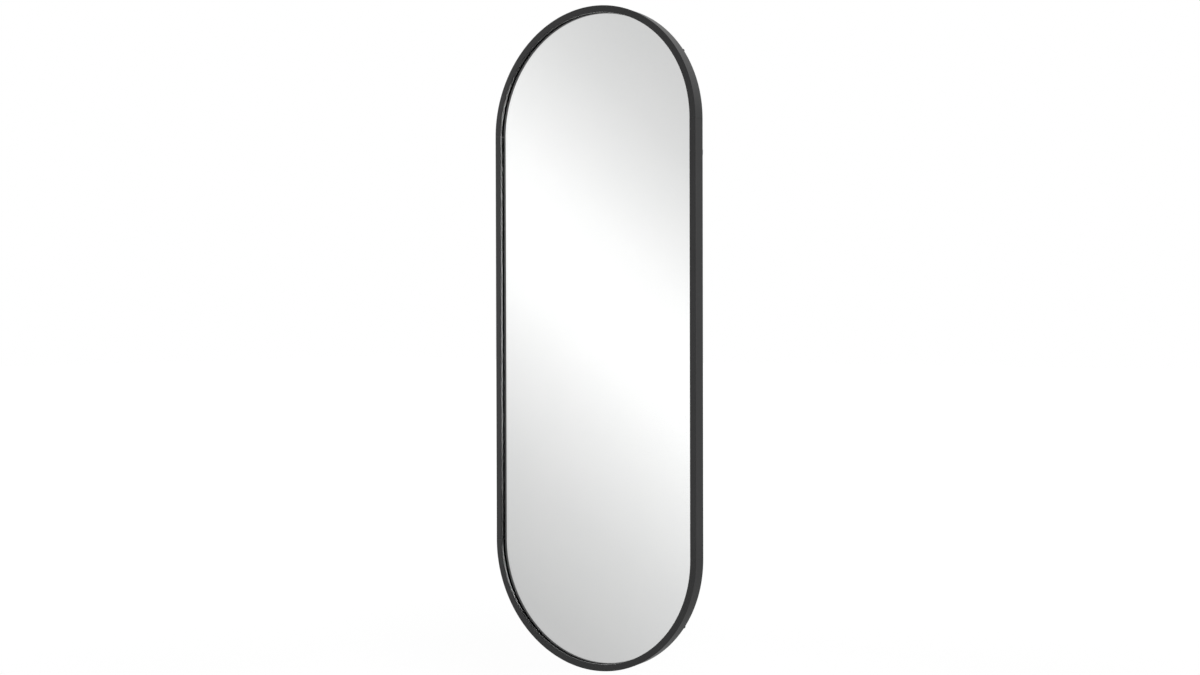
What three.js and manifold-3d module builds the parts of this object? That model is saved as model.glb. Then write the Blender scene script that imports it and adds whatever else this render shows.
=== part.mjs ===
// A capsule wall mirror. A slim black metal frame holds a silvered glass a little behind its front
// face. The frame is one section all the way round: two straight rails and two half-round ends, butted
// where the ends begin, with a flat key in the back channel across each of the four seams.
// Behind the glass lie a card liner and a backing board, pressed forward by bowed spring clips.
// Two ring hangers are screwed to the back channel, and four rubber bumpers touch the wall.
//
// Millimetres, +Z up. The glass faces -Y, and +X is on the right of someone who looks into it.
// The origin is the middle of the mirror on the wall plane.

import * as THREE from "three";
import { mergeVertices } from "three/addons/utils/BufferGeometryUtils.js";
import Module from "manifold-3d";

// The whole mirror
const MIRROR_WIDTH = 510;
const MIRROR_HEIGHT = 1400;
const FRAME_DEPTH = 30;

// The gap between two pieces that rest on each other
const SEAT_GAP = 0.3;

// The frame's section: a front face with a lip that runs back to the glass, a side wall, and a
// channel along the back that is open to the wall through a slot
const FACE_WIDTH = 14;
const SECTION_WALL = 1.5;
const LIP_DEPTH = 6;
const OUTER_EDGE_RADIUS = 0.6;
const INNER_EDGE_RADIUS = 1;
const CHANNEL_WIDTH = 15;
const CHANNEL_HEIGHT = 3;
const CHANNEL_INNER_LIP = 2.5;

// The screws of the frame's keys and of the hangers
const SCREW_DIAMETER = 4;
const SCREW_SIDE_GAP = 0.5;
const SET_SCREW_HEX = 2;
const SET_SCREW_HEX_DEPTH = 2;
const SCREW_HEAD_DIAMETER = 7.2;
const SCREW_HEAD_HEIGHT = 2;
const SCREW_HEAD_EDGE = 0.9;
const RECESS_LENGTH = 4;
const RECESS_WIDTH = 0.9;
const RECESS_DEPTH = 1.2;

// The glass and what lies behind it
const GLASS_THICKNESS = 6;
const GLASS_EDGE_SPACE = 2;
const GLASS_ARRIS = 0.5;
const CARD_THICKNESS = 1;
const CARD_MARGIN = 3;
const BOARD_THICKNESS = 3;
const BOARD_EDGE_SPACE = 1;
const EDGE_PAD_LENGTH = 30;

// The keys across the frame's seams
const KEY_LENGTH = 60;

// The bowed spring clips
const CLIP_LENGTH = 48;
const CLIP_WIDTH = 16;
const CLIP_THICKNESS = 0.7;
const CLIP_FROM_OUTSIDE = 4;

// The ring hangers
const HANGER_FROM_SEAM = 60;
const STRAP_WIDTH = 10;
const STRAP_THICKNESS = 1.2;
const STRAP_SCREW_SPACING = 16;
const STRAP_SCREW_MARGIN = 2;
const STRAP_END_MARGIN = 5.5;
const STRAP_CORNER_RADIUS = 3;
const NUT_END_MARGIN = 9;
const RING_WIRE = 2.5;
const RING_WIDTH = 20;
const RING_LENGTH = 19;
const RING_CORNER_RADIUS = 3;
const EYE_CLEARANCE = 0.35;
const HANGER_TO_WALL = 0.6;

// The wall bumpers
const BUMPER_DIAMETER = 8;
const BUMPER_EDGE_RADIUS = 1;

// How far a cutting tool runs past what it cuts
const OVERRUN = 1;

// Angles, counts and shares
const QUARTER = Math.PI / 2;
const END_STEPS = 48;
const EDGE_STEPS = 1;
const ROUND_STEPS = 20;
const PAD_STEPS = 4;
const KEY_CURVE_STEPS = 2;
const EYE_STEPS = 9;
const EYE_WRAP = THREE.MathUtils.degToRad(280);
const RING_STEPS = 40;
const RING_SIDES = 10;
const CLIP_STEPS = 18;
const CLIP_WAVE_SHARE = 0.72;
const KEY_SCREW_SHARE = 0.55;
const RAIL_CLIP_SHARES = [-0.75, -0.25, 0.25, 0.75];
const RAIL_PAD_SHARES = [-0.6, 0.6];
const END_CLIP_ANGLES = [45, 90, 135].map(THREE.MathUtils.degToRad);
const END_PAD_ANGLES = [60, 120].map(THREE.MathUtils.degToRad);
const END_BUMPER_ANGLES = { right: 35, left: 145 };

// Places that follow from the sizes. Depths run back from the front face, and "in" distances run
// from the frame's outer side towards the middle of the mirror.
const endRadius = MIRROR_WIDTH / 2;
const seamHeight = (MIRROR_HEIGHT - MIRROR_WIDTH) / 2;
const screwRadius = SCREW_DIAMETER / 2;
const channelFloor = FRAME_DEPTH - SECTION_WALL - CHANNEL_HEIGHT;
const shelfFront = channelFloor - SECTION_WALL;
const channelMouth = FRAME_DEPTH - SECTION_WALL;
const channelInside = SECTION_WALL + CHANNEL_WIDTH;
const slotInside = channelInside - CHANNEL_INNER_LIP;
const slotOutside = slotInside - SCREW_DIAMETER - 2 * SCREW_SIDE_GAP;
const slotMiddle = (slotInside + slotOutside) / 2;
const barWidth = CHANNEL_WIDTH - 2 * SEAT_GAP;
const barThickness = CHANNEL_HEIGHT - 2 * SEAT_GAP;
const barFront = channelFloor + SEAT_GAP;
const glassFront = LIP_DEPTH + SEAT_GAP;
const glassBack = glassFront + GLASS_THICKNESS;
const glassInset = SECTION_WALL + GLASS_EDGE_SPACE;
const cardFront = glassBack + SEAT_GAP;
const boardFront = cardFront + CARD_THICKNESS + SEAT_GAP;
const boardBack = boardFront + BOARD_THICKNESS;
const strapFront = FRAME_DEPTH + SEAT_GAP;
const strapBack = strapFront + STRAP_THICKNESS;
const wireRadius = RING_WIRE / 2;
const eyeInner = wireRadius + EYE_CLEARANCE;
const eyeOuter = eyeInner + STRAP_THICKNESS;
const ringAxisDepth = strapFront + eyeOuter;
const ringAxisHeight = seamHeight - HANGER_FROM_SEAM;
const wallDepth = ringAxisDepth + eyeOuter + HANGER_TO_WALL;
const firstScrewDrop = RING_LENGTH + STRAP_SCREW_MARGIN + SCREW_HEAD_DIAMETER / 2;
const secondScrewDrop = firstScrewDrop + STRAP_SCREW_SPACING;

const finishes = {
  frame: new THREE.MeshStandardMaterial({ color: 0x1b1b1c, roughness: 0.42, metalness: 0.2 }),
  silver: new THREE.MeshStandardMaterial({ color: 0xe9eceb, roughness: 0.02, metalness: 1 }),
  board: new THREE.MeshStandardMaterial({ color: 0x2a2622, roughness: 0.85, metalness: 0 }),
  card: new THREE.MeshStandardMaterial({ color: 0x9a958c, roughness: 0.9, metalness: 0 }),
  zinc: new THREE.MeshStandardMaterial({ color: 0xb4b6b8, roughness: 0.35, metalness: 1 }),
  spring: new THREE.MeshStandardMaterial({ color: 0x8f9194, roughness: 0.3, metalness: 1 }),
  rubber: new THREE.MeshStandardMaterial({ color: 0x161616, roughness: 0.8, metalness: 0 }),
};

const wasm = await Module();
wasm.setup();

// A closed geometry as a solid that can be cut.
function solidOf(geometry) {
  const bare = geometry.clone();
  bare.deleteAttribute("normal");
  bare.deleteAttribute("uv");
  const merged = mergeVertices(bare);
  return new wasm.Manifold(
    new wasm.Mesh({
      numProp: 3,
      vertProperties: merged.getAttribute("position").array,
      triVerts: new Uint32Array(merged.index.array),
    }),
  );
}

// A cut solid as a geometry again.
function geometryOf(solid) {
  const { vertProperties, triVerts } = solid.getMesh();
  const geometry = new THREE.BufferGeometry();
  geometry.setAttribute("position", new THREE.BufferAttribute(vertProperties, 3));
  geometry.setIndex(new THREE.BufferAttribute(triVerts, 1));
  geometry.computeVertexNormals();
  return geometry;
}

// A closed section carried along stations. Each station has an origin and the two directions in
// which the section's own x and y point there. The run is capped, or it closes on itself.
function sweep(section, stations, closed = false) {
  const positions = [];
  const index = [];
  const sides = section.length;
  for (const { origin, across, along } of stations) {
    for (const { x, y } of section) {
      const point = origin.clone().addScaledVector(across, x).addScaledVector(along, y);
      positions.push(point.x, point.y, point.z);
    }
  }
  const runs = closed ? stations.length : stations.length - 1;
  for (let i = 0; i < runs; i += 1) {
    const here = i * sides;
    const next = ((i + 1) % stations.length) * sides;
    for (let j = 0; j < sides; j += 1) {
      const k = (j + 1) % sides;
      index.push(here + j, here + k, next + k, here + j, next + k, next + j);
    }
  }
  if (!closed) {
    const last = (stations.length - 1) * sides;
    for (const [a, b, c] of THREE.ShapeUtils.triangulateShape(section, [])) {
      index.push(a, c, b, last + a, last + b, last + c);
    }
  }
  const geometry = new THREE.BufferGeometry();
  geometry.setAttribute("position", new THREE.Float32BufferAttribute(positions, 3));
  geometry.setIndex(index);
  turnOut(geometry);
  geometry.computeVertexNormals();
  return geometry;
}

// Turns every face of a closed geometry round if its faces point inwards.
function turnOut(geometry) {
  const corners = geometry.getAttribute("position");
  const faces = geometry.index;
  const [a, b, c] = [new THREE.Vector3(), new THREE.Vector3(), new THREE.Vector3()];
  let volume = 0;
  for (let i = 0; i < faces.count; i += 3) {
    a.fromBufferAttribute(corners, faces.getX(i));
    b.fromBufferAttribute(corners, faces.getX(i + 1));
    c.fromBufferAttribute(corners, faces.getX(i + 2));
    volume += a.dot(b.cross(c));
  }
  if (volume > 0) return;
  for (let i = 0; i < faces.count; i += 3) {
    const second = faces.getX(i + 1);
    faces.setX(i + 1, faces.getX(i + 2));
    faces.setX(i + 2, second);
  }
}

// Depth behind the front face as a place along Y.
function atDepth(depth) {
  return depth - wallDepth;
}

// Stations on the outer side of a half-round end, up is 1 for the top end and -1 for the bottom.
function endStations(up, fromAngle, toAngle, steps) {
  return Array.from({ length: steps + 1 }, (_, i) => {
    const angle = THREE.MathUtils.lerp(fromAngle, toAngle, i / steps);
    const outward = new THREE.Vector3(Math.cos(angle), 0, up * Math.sin(angle));
    return {
      origin: new THREE.Vector3(0, atDepth(0), up * seamHeight).addScaledVector(outward, endRadius),
      across: outward.negate(),
      along: new THREE.Vector3(0, 1, 0),
    };
  });
}

// Stations on the outer side of a rail, right is 1 for the right rail and -1 for the left.
function railStations(right, fromHeight, toHeight) {
  return [fromHeight, toHeight].map((height) => ({
    origin: new THREE.Vector3(right * endRadius, atDepth(0), height),
    across: new THREE.Vector3(-right, 0, 0),
    along: new THREE.Vector3(0, 1, 0),
  }));
}

// The frame's section: x runs in from the outer side, y runs back from the front face.
function frameSection() {
  const outline = new THREE.Shape();
  const face = FACE_WIDTH - INNER_EDGE_RADIUS;
  const backCorner = FRAME_DEPTH - OUTER_EDGE_RADIUS;
  outline.moveTo(OUTER_EDGE_RADIUS, 0);
  outline.lineTo(face, 0);
  outline.absarc(face, INNER_EDGE_RADIUS, INNER_EDGE_RADIUS, -QUARTER, 0, false);
  outline.lineTo(FACE_WIDTH, LIP_DEPTH);
  outline.lineTo(FACE_WIDTH - SECTION_WALL, LIP_DEPTH);
  outline.lineTo(FACE_WIDTH - SECTION_WALL, SECTION_WALL);
  outline.lineTo(SECTION_WALL, SECTION_WALL);
  outline.lineTo(SECTION_WALL, shelfFront);
  outline.lineTo(channelInside + SECTION_WALL, shelfFront);
  outline.lineTo(channelInside + SECTION_WALL, FRAME_DEPTH);
  outline.lineTo(slotInside, FRAME_DEPTH);
  outline.lineTo(slotInside, channelMouth);
  outline.lineTo(channelInside, channelMouth);
  outline.lineTo(channelInside, channelFloor);
  outline.lineTo(SECTION_WALL, channelFloor);
  outline.lineTo(SECTION_WALL, channelMouth);
  outline.lineTo(slotOutside, channelMouth);
  outline.lineTo(slotOutside, FRAME_DEPTH);
  outline.lineTo(OUTER_EDGE_RADIUS, FRAME_DEPTH);
  outline.absarc(OUTER_EDGE_RADIUS, backCorner, OUTER_EDGE_RADIUS, QUARTER, 2 * QUARTER, false);
  outline.lineTo(0, OUTER_EDGE_RADIUS);
  outline.absarc(OUTER_EDGE_RADIUS, OUTER_EDGE_RADIUS, OUTER_EDGE_RADIUS, -2 * QUARTER, -QUARTER, false);
  const points = outline.getPoints(EDGE_STEPS);
  if (points[0].distanceTo(points.at(-1)) < OUTER_EDGE_RADIUS / END_STEPS) points.pop();
  return points;
}

function frameEnd(up) {
  return sweep(frameSection(), endStations(up, 0, Math.PI, END_STEPS));
}

function frameRail(right) {
  const railEnd = seamHeight - SEAT_GAP;
  return sweep(frameSection(), railStations(right, -railEnd, railEnd));
}

// The mirror's outline, set in all round.
function capsule(inset) {
  const radius = endRadius - inset;
  const outline = new THREE.Shape();
  outline.absarc(0, seamHeight, radius, 0, Math.PI, false);
  outline.absarc(0, -seamHeight, radius, Math.PI, 2 * Math.PI, false);
  outline.closePath();
  return outline;
}

// A flat plate from an outline in X and Z, laid between two depths.
function plate(outline, depth, thickness, curveSegments, bevel = 0) {
  const geometry = new THREE.ExtrudeGeometry(outline, {
    depth: thickness - 2 * bevel,
    curveSegments,
    bevelEnabled: bevel > 0,
    bevelSegments: 1,
    bevelSize: bevel,
    bevelThickness: bevel,
    bevelOffset: -bevel,
  });
  geometry.rotateX(QUARTER);
  geometry.translate(0, atDepth(depth) + thickness - bevel, 0);
  return geometry;
}

// A rubber pad between the glass's edge and the frame's side wall.
function edgePadSection() {
  const outside = SECTION_WALL + SEAT_GAP;
  const inside = glassInset - SEAT_GAP;
  return [
    new THREE.Vector2(outside, glassFront),
    new THREE.Vector2(inside, glassFront),
    new THREE.Vector2(inside, glassBack),
    new THREE.Vector2(outside, glassBack),
  ];
}

function endEdgePad(up, angle) {
  const half = EDGE_PAD_LENGTH / 2 / endRadius;
  return sweep(edgePadSection(), endStations(up, angle - half, angle + half, PAD_STEPS));
}

function railEdgePad(right, share) {
  const middle = share * seamHeight;
  const half = EDGE_PAD_LENGTH / 2;
  return sweep(edgePadSection(), railStations(right, middle - half, middle + half));
}

// Where a key's screw stands on the rail and on the round end, in the upper right quarter.
const keyHalf = KEY_LENGTH / 2;
const keyAngle = keyHalf / (endRadius - slotMiddle);
const keyScrewPlaces = {
  rail: new THREE.Vector2(endRadius - slotMiddle, seamHeight - KEY_SCREW_SHARE * keyHalf),
  end: new THREE.Vector2(0, seamHeight).add(
    new THREE.Vector2(endRadius - slotMiddle, 0).rotateAround(
      new THREE.Vector2(),
      KEY_SCREW_SHARE * keyAngle,
    ),
  ),
};

function roundHole(x, y, radius) {
  return new THREE.Path().absarc(x, y, radius, 0, 2 * Math.PI, true);
}

// A flat bar in the back channel, straight on the rail's side of the seam and bent on the other.
function joinerKey() {
  const outside = endRadius - SECTION_WALL - SEAT_GAP;
  const inside = outside - barWidth;
  const outline = new THREE.Shape();
  outline.moveTo(inside, seamHeight - keyHalf);
  outline.lineTo(outside, seamHeight - keyHalf);
  outline.absarc(0, seamHeight, outside, 0, keyAngle, false);
  outline.absarc(0, seamHeight, inside, keyAngle, 0, true);
  outline.closePath();
  for (const { x, y } of Object.values(keyScrewPlaces)) {
    outline.holes.push(roundHole(x, y, screwRadius + SEAT_GAP));
  }
  return plate(outline, barFront, barThickness, KEY_CURVE_STEPS * 4);
}

// A round piece whose axis points at the wall. Its profile has radii in x and depths in y.
function turned(profile, segments) {
  const points = profile.map(([radius, depth]) => new THREE.Vector2(radius, depth));
  return new THREE.LatheGeometry(points, segments);
}

// The screw that presses a key against the channel's lips, with a hexagon socket.
function setScrew() {
  const length = FRAME_DEPTH - barFront - SEAT_GAP;
  const chamfer = SCREW_SIDE_GAP;
  const body = turned(
    [
      [0, 0],
      [screwRadius - chamfer, 0],
      [screwRadius, chamfer],
      [screwRadius, length],
      [0, length],
    ],
    ROUND_STEPS,
  );
  const socketRadius = SET_SCREW_HEX / Math.sqrt(3);
  const socket = new THREE.CylinderGeometry(
    socketRadius,
    socketRadius,
    SET_SCREW_HEX_DEPTH + OVERRUN,
    6,
  );
  socket.translate(0, length + (OVERRUN - SET_SCREW_HEX_DEPTH) / 2, 0);
  return geometryOf(solidOf(body).subtract(solidOf(socket)));
}

// The machine screw of a hanger: a low domed head with a cross recess, on a plain shank.
function hangerScrew() {
  const headRadius = SCREW_HEAD_DIAMETER / 2;
  const shank = strapBack + SEAT_GAP - barFront;
  const top = shank + SCREW_HEAD_HEIGHT;
  const body = turned(
    [
      [0, 0],
      [screwRadius, 0],
      [screwRadius, shank],
      [headRadius, shank],
      [headRadius, top - SCREW_HEAD_EDGE],
      [headRadius - SCREW_HEAD_EDGE, top],
      [0, top],
    ],
    ROUND_STEPS,
  );
  const bar = new THREE.BoxGeometry(RECESS_LENGTH, RECESS_DEPTH + OVERRUN, RECESS_WIDTH);
  bar.translate(0, top + (OVERRUN - RECESS_DEPTH) / 2, 0);
  const crossBar = bar.clone().rotateY(QUARTER);
  const recess = solidOf(bar).add(solidOf(crossBar));
  return geometryOf(solidOf(body).subtract(recess));
}

// A bowed leaf: its middle presses on the channel's floor, its two feet on the backing board, and
// its tips turn up again so that it slides in.
function springClip() {
  const rise = shelfFront - boardBack - 2 * SEAT_GAP - CLIP_THICKNESS;
  const middleLine = (along) => {
    const wave = Math.cos((2 * Math.PI * along) / (CLIP_WAVE_SHARE * CLIP_LENGTH));
    return boardBack + SEAT_GAP + (rise * (1 + wave)) / 2;
  };
  const front = [];
  const back = [];
  for (let i = 0; i <= CLIP_STEPS; i += 1) {
    const along = CLIP_LENGTH * (i / CLIP_STEPS - 1 / 2);
    const depth = atDepth(middleLine(along));
    front.push(new THREE.Vector2(depth, along));
    back.unshift(new THREE.Vector2(depth + CLIP_THICKNESS, along));
  }
  const outline = new THREE.Shape([...front, ...back]);
  const leaf = new THREE.ExtrudeGeometry(outline, { depth: CLIP_WIDTH, bevelEnabled: false });
  // The leaf is drawn in depth and length, and pulled out across the frame.
  leaf.applyMatrix4(
    new THREE.Matrix4().makeBasis(
      new THREE.Vector3(0, 1, 0),
      new THREE.Vector3(0, 0, 1),
      new THREE.Vector3(1, 0, 0),
    ),
  );
  leaf.translate(-CLIP_FROM_OUTSIDE - CLIP_WIDTH, 0, 0);
  return leaf;
}

// A strap of flat steel, rolled over at the top into an eye for the ring. Its middle is at x 0, and
// the eye's axis is at height 0. It is the overlap of its side view and its front view.
function hangerStrap() {
  const side = new THREE.Shape();
  const lowest = -secondScrewDrop - STRAP_END_MARGIN;
  side.moveTo(strapFront, lowest);
  side.lineTo(strapFront, 0);
  side.absarc(ringAxisDepth, 0, eyeOuter, Math.PI, Math.PI - EYE_WRAP, true);
  side.absarc(ringAxisDepth, 0, eyeInner, Math.PI - EYE_WRAP, Math.PI, false);
  side.lineTo(strapBack, lowest);
  side.closePath();
  const strip = new THREE.ExtrudeGeometry(side, {
    depth: STRAP_WIDTH,
    curveSegments: EYE_STEPS,
    bevelEnabled: false,
  });
  strip.applyMatrix4(
    new THREE.Matrix4().makeBasis(
      new THREE.Vector3(0, 1, 0),
      new THREE.Vector3(0, 0, 1),
      new THREE.Vector3(1, 0, 0),
    ),
  );
  strip.translate(-STRAP_WIDTH / 2, atDepth(0), 0);

  const front = new THREE.Shape();
  const halfWidth = STRAP_WIDTH / 2;
  const cornerHeight = lowest + STRAP_CORNER_RADIUS;
  const cornerSide = halfWidth - STRAP_CORNER_RADIUS;
  const top = eyeOuter + OVERRUN;
  front.moveTo(halfWidth + OVERRUN, top);
  front.lineTo(-halfWidth - OVERRUN, top);
  front.lineTo(-halfWidth - OVERRUN, cornerHeight);
  front.lineTo(-halfWidth, cornerHeight);
  front.absarc(-cornerSide, cornerHeight, STRAP_CORNER_RADIUS, Math.PI, 3 * QUARTER, false);
  front.absarc(cornerSide, cornerHeight, STRAP_CORNER_RADIUS, 3 * QUARTER, 4 * QUARTER, false);
  front.lineTo(halfWidth + OVERRUN, cornerHeight);
  front.closePath();
  for (const drop of [firstScrewDrop, secondScrewDrop]) {
    front.holes.push(roundHole(0, -drop, screwRadius + SEAT_GAP));
  }
  const frontDepth = strapFront - OVERRUN;
  const block = plate(front, frontDepth, 2 * (eyeOuter + OVERRUN), ROUND_STEPS / 4);
  return geometryOf(solidOf(strip).intersect(solidOf(block)));
}

// The bar in the channel that a hanger's two screws are tapped into.
function hangerNut() {
  const halfWidth = barWidth / 2;
  const offset = endRadius - SECTION_WALL - SEAT_GAP - halfWidth - (endRadius - slotMiddle);
  const outline = new THREE.Shape();
  outline.moveTo(offset - halfWidth, -secondScrewDrop - NUT_END_MARGIN);
  outline.lineTo(offset + halfWidth, -secondScrewDrop - NUT_END_MARGIN);
  outline.lineTo(offset + halfWidth, -firstScrewDrop + NUT_END_MARGIN);
  outline.lineTo(offset - halfWidth, -firstScrewDrop + NUT_END_MARGIN);
  outline.closePath();
  for (const drop of [firstScrewDrop, secondScrewDrop]) {
    outline.holes.push(roundHole(0, -drop, screwRadius + SEAT_GAP));
  }
  return plate(outline, barFront, barThickness, ROUND_STEPS / 4);
}

// A bent wire ring with a straight leg at height 0 and a round bow below it.
function hangerRing() {
  const half = (RING_WIDTH - RING_WIRE) / 2;
  const corner = RING_CORNER_RADIUS;
  const bowMiddle = RING_LENGTH - wireRadius - half;
  const line = new THREE.Path();
  line.moveTo(corner - half, 0);
  line.lineTo(half - corner, 0);
  line.absarc(half - corner, -corner, corner, QUARTER, 0, true);
  line.lineTo(half, -bowMiddle);
  line.absarc(0, -bowMiddle, half, 0, -Math.PI, true);
  line.lineTo(-half, -corner);
  line.absarc(corner - half, -corner, corner, Math.PI, QUARTER, true);
  const points = line.getSpacedPoints(RING_STEPS).slice(0, RING_STEPS);
  const stations = points.map((point, i) => {
    const before = points.at(i - 1);
    const after = points[(i + 1) % RING_STEPS];
    const run = after.clone().sub(before).normalize();
    return {
      origin: new THREE.Vector3(point.x, atDepth(ringAxisDepth), point.y),
      across: new THREE.Vector3(-run.y, 0, run.x),
      along: new THREE.Vector3(0, 1, 0),
    };
  });
  const wire = Array.from({ length: RING_SIDES }, (_, i) =>
    new THREE.Vector2(wireRadius, 0).rotateAround(
      new THREE.Vector2(),
      (i / RING_SIDES) * 2 * Math.PI,
    ),
  );
  return sweep(wire, stations, true);
}

// A rubber bumper stuck to the frame's back face.
function wallBumper() {
  const radius = BUMPER_DIAMETER / 2;
  const height = wallDepth - FRAME_DEPTH - SEAT_GAP;
  return turned(
    [
      [0, 0],
      [radius, 0],
      [radius, height - BUMPER_EDGE_RADIUS],
      [radius - BUMPER_EDGE_RADIUS * (1 - Math.SQRT1_2), height - BUMPER_EDGE_RADIUS * (1 - Math.SQRT1_2)],
      [radius - BUMPER_EDGE_RADIUS, height],
      [0, height],
    ],
    ROUND_STEPS,
  );
}

const mirror = new THREE.Group();

// Adds a named piece. The place is the piece's own x, depth and z.
function add(name, geometry, finish, x = 0, y = 0, z = 0) {
  const mesh = new THREE.Mesh(geometry, finishes[finish].clone());
  mesh.name = name;
  mesh.position.set(x, y, z);
  mirror.add(mesh);
  return mesh;
}

const ends = { top: 1, bottom: -1 };
const rails = { right: 1, left: -1 };

for (const [end, up] of Object.entries(ends)) {
  add(`frame_${end}_arc`, frameEnd(up), "frame");
  END_PAD_ANGLES.forEach((angle, i) => {
    add(`edge_pad_${end}_${i + 1}`, endEdgePad(up, angle), "rubber");
  });
  END_CLIP_ANGLES.forEach((angle, i) => {
    const clip = add(`spring_clip_${end}_${i + 1}`, springClip(), "spring");
    clip.geometry.translate(endRadius, 0, 0);
    clip.position.z = up * seamHeight;
    clip.rotation.y = -up * angle;
  });
}

for (const [rail, right] of Object.entries(rails)) {
  add(`frame_${rail}_rail`, frameRail(right), "frame");
  RAIL_PAD_SHARES.forEach((share, i) => {
    add(`edge_pad_${rail}_${i + 1}`, railEdgePad(right, share), "rubber");
  });
  RAIL_CLIP_SHARES.forEach((share, i) => {
    const clip = add(`spring_clip_${rail}_${i + 1}`, springClip(), "spring");
    clip.geometry.translate(endRadius, 0, 0);
    clip.position.z = share * seamHeight;
    clip.scale.x = right;
  });
}

const glass = plate(capsule(glassInset), glassFront, GLASS_THICKNESS, END_STEPS / 2, GLASS_ARRIS);
const card = plate(capsule(glassInset + CARD_MARGIN), cardFront, CARD_THICKNESS, END_STEPS / 2);
const board = plate(capsule(SECTION_WALL + BOARD_EDGE_SPACE), boardFront, BOARD_THICKNESS, END_STEPS / 2);
add("mirror_glass", glass, "silver");
add("card_liner", card, "card");
add("backing_board", board, "board");

// What repeats in the four quarters: a key over the seam, its two set screws, and a bumper.
for (const [end, up] of Object.entries(ends)) {
  for (const [rail, right] of Object.entries(rails)) {
    const quarter = `${end}_${rail}`;
    add(`joiner_key_${quarter}`, joinerKey(), "zinc").scale.set(right, 1, up);
    for (const [side, place] of Object.entries(keyScrewPlaces)) {
      const name = `joiner_screw_${quarter}_${side}`;
      add(name, setScrew(), "zinc", right * place.x, atDepth(barFront), up * place.y);
    }
    const angle = THREE.MathUtils.degToRad(END_BUMPER_ANGLES[rail]);
    const reach = endRadius - slotOutside / 2;
    const x = reach * Math.cos(angle);
    const z = up * (seamHeight + reach * Math.sin(angle));
    add(`wall_bumper_${quarter}`, wallBumper(), "rubber", x, atDepth(FRAME_DEPTH + SEAT_GAP), z);
  }
}

for (const [rail, right] of Object.entries(rails)) {
  const x = right * (endRadius - slotMiddle);
  add(`hanger_strap_${rail}`, hangerStrap(), "zinc", x, 0, ringAxisHeight);
  add(`hanger_ring_${rail}`, hangerRing(), "zinc", x, 0, ringAxisHeight);
  add(`hanger_nut_${rail}`, hangerNut(), "zinc", x, 0, ringAxisHeight).scale.x = right;
  const drops = { upper: firstScrewDrop, lower: secondScrewDrop };
  for (const [place, drop] of Object.entries(drops)) {
    const z = ringAxisHeight - drop;
    add(`hanger_screw_${rail}_${place}`, hangerScrew(), "zinc", x, atDepth(barFront), z);
  }
}

export default mirror;
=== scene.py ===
"""A capsule wall mirror in a slim, deep, satin black metal frame, with its glass set back behind a lip.

Metres, +Z up. The glass faces -Y, +X is on the right of someone who looks into it, and the origin is
the middle of the mirror on the wall plane.
"""

import math

import bmesh
import bpy
from mathutils import Matrix, Vector
from mathutils.geometry import tessellate_polygon


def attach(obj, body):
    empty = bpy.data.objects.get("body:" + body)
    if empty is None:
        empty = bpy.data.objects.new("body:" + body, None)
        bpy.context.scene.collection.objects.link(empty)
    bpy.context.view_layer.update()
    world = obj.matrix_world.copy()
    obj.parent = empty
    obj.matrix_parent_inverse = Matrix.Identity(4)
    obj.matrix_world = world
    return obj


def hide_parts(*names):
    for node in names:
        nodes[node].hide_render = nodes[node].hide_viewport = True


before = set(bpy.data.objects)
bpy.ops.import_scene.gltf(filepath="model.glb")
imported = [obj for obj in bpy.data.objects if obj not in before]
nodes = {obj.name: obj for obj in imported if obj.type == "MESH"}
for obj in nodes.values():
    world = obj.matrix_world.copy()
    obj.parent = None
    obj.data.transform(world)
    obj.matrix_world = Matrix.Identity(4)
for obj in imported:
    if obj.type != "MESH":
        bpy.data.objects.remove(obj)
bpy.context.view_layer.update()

# The frame
# One extruded aluminium section all the way round: two straight rails and two ends rolled to a half
# circle, butted together where the ends begin. It is blasted and anodised satin black. Its front lip
# stands before the glass, and its back has an open channel for the keys and the hangers.

MIRROR_WIDTH = 0.510
MIRROR_HEIGHT = 1.400
WALL_DEPTH = 0.0365
FRAME_DEPTH = 0.030
FACE_WIDTH = 0.014
SECTION_WALL = 0.0015
LIP_DEPTH = 0.006
OUTER_EDGE_RADIUS = 0.0006
INNER_EDGE_RADIUS = 0.001
CHANNEL_WIDTH = 0.015
CHANNEL_HEIGHT = 0.003
CHANNEL_INNER_LIP = 0.0025
SLOT_WIDTH = 0.005
CUT_EDGE = 0.00012
SEAM_GAP = 0.0001
END_STEPS = 144
OUTER_EDGE_STEPS = 4
INNER_EDGE_STEPS = 8
SHARPEST_MITRE = 0.3
FLAT_FACE_WEIGHT = 80
BLAST_SHARE = 0.35

end_radius = MIRROR_WIDTH / 2
seam_height = (MIRROR_HEIGHT - MIRROR_WIDTH) / 2
channel_inside = SECTION_WALL + CHANNEL_WIDTH
slot_inside = channel_inside - CHANNEL_INNER_LIP
slot_outside = slot_inside - SLOT_WIDTH
channel_mouth = FRAME_DEPTH - SECTION_WALL
channel_floor = channel_mouth - CHANNEL_HEIGHT


def at_depth(depth):
    """Depth behind the front face as a place along Y."""
    return depth - WALL_DEPTH


def fresh_material(name):
    """A material with a Principled shader, its tree of nodes, and that shader."""
    material = bpy.data.materials.new(name)
    material.use_nodes = True
    tree = material.node_tree
    shader = next(node for node in tree.nodes if node.type == "BSDF_PRINCIPLED")
    return material, tree, shader


def noise(tree, scale, detail, roughness=0.55, stretch=(1, 1, 1)):
    """A noise in the part's own metres, stretched by scaling its axes."""
    place = tree.nodes.new("ShaderNodeTexCoord")
    mapping = tree.nodes.new("ShaderNodeMapping")
    mapping.inputs["Scale"].default_value = stretch
    tree.links.new(place.outputs["Object"], mapping.inputs["Vector"])
    field = tree.nodes.new("ShaderNodeTexNoise")
    field.inputs["Scale"].default_value = scale
    field.inputs["Detail"].default_value = detail
    field.inputs["Roughness"].default_value = roughness
    tree.links.new(mapping.outputs["Vector"], field.inputs["Vector"])
    return field.outputs["Fac"]


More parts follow.
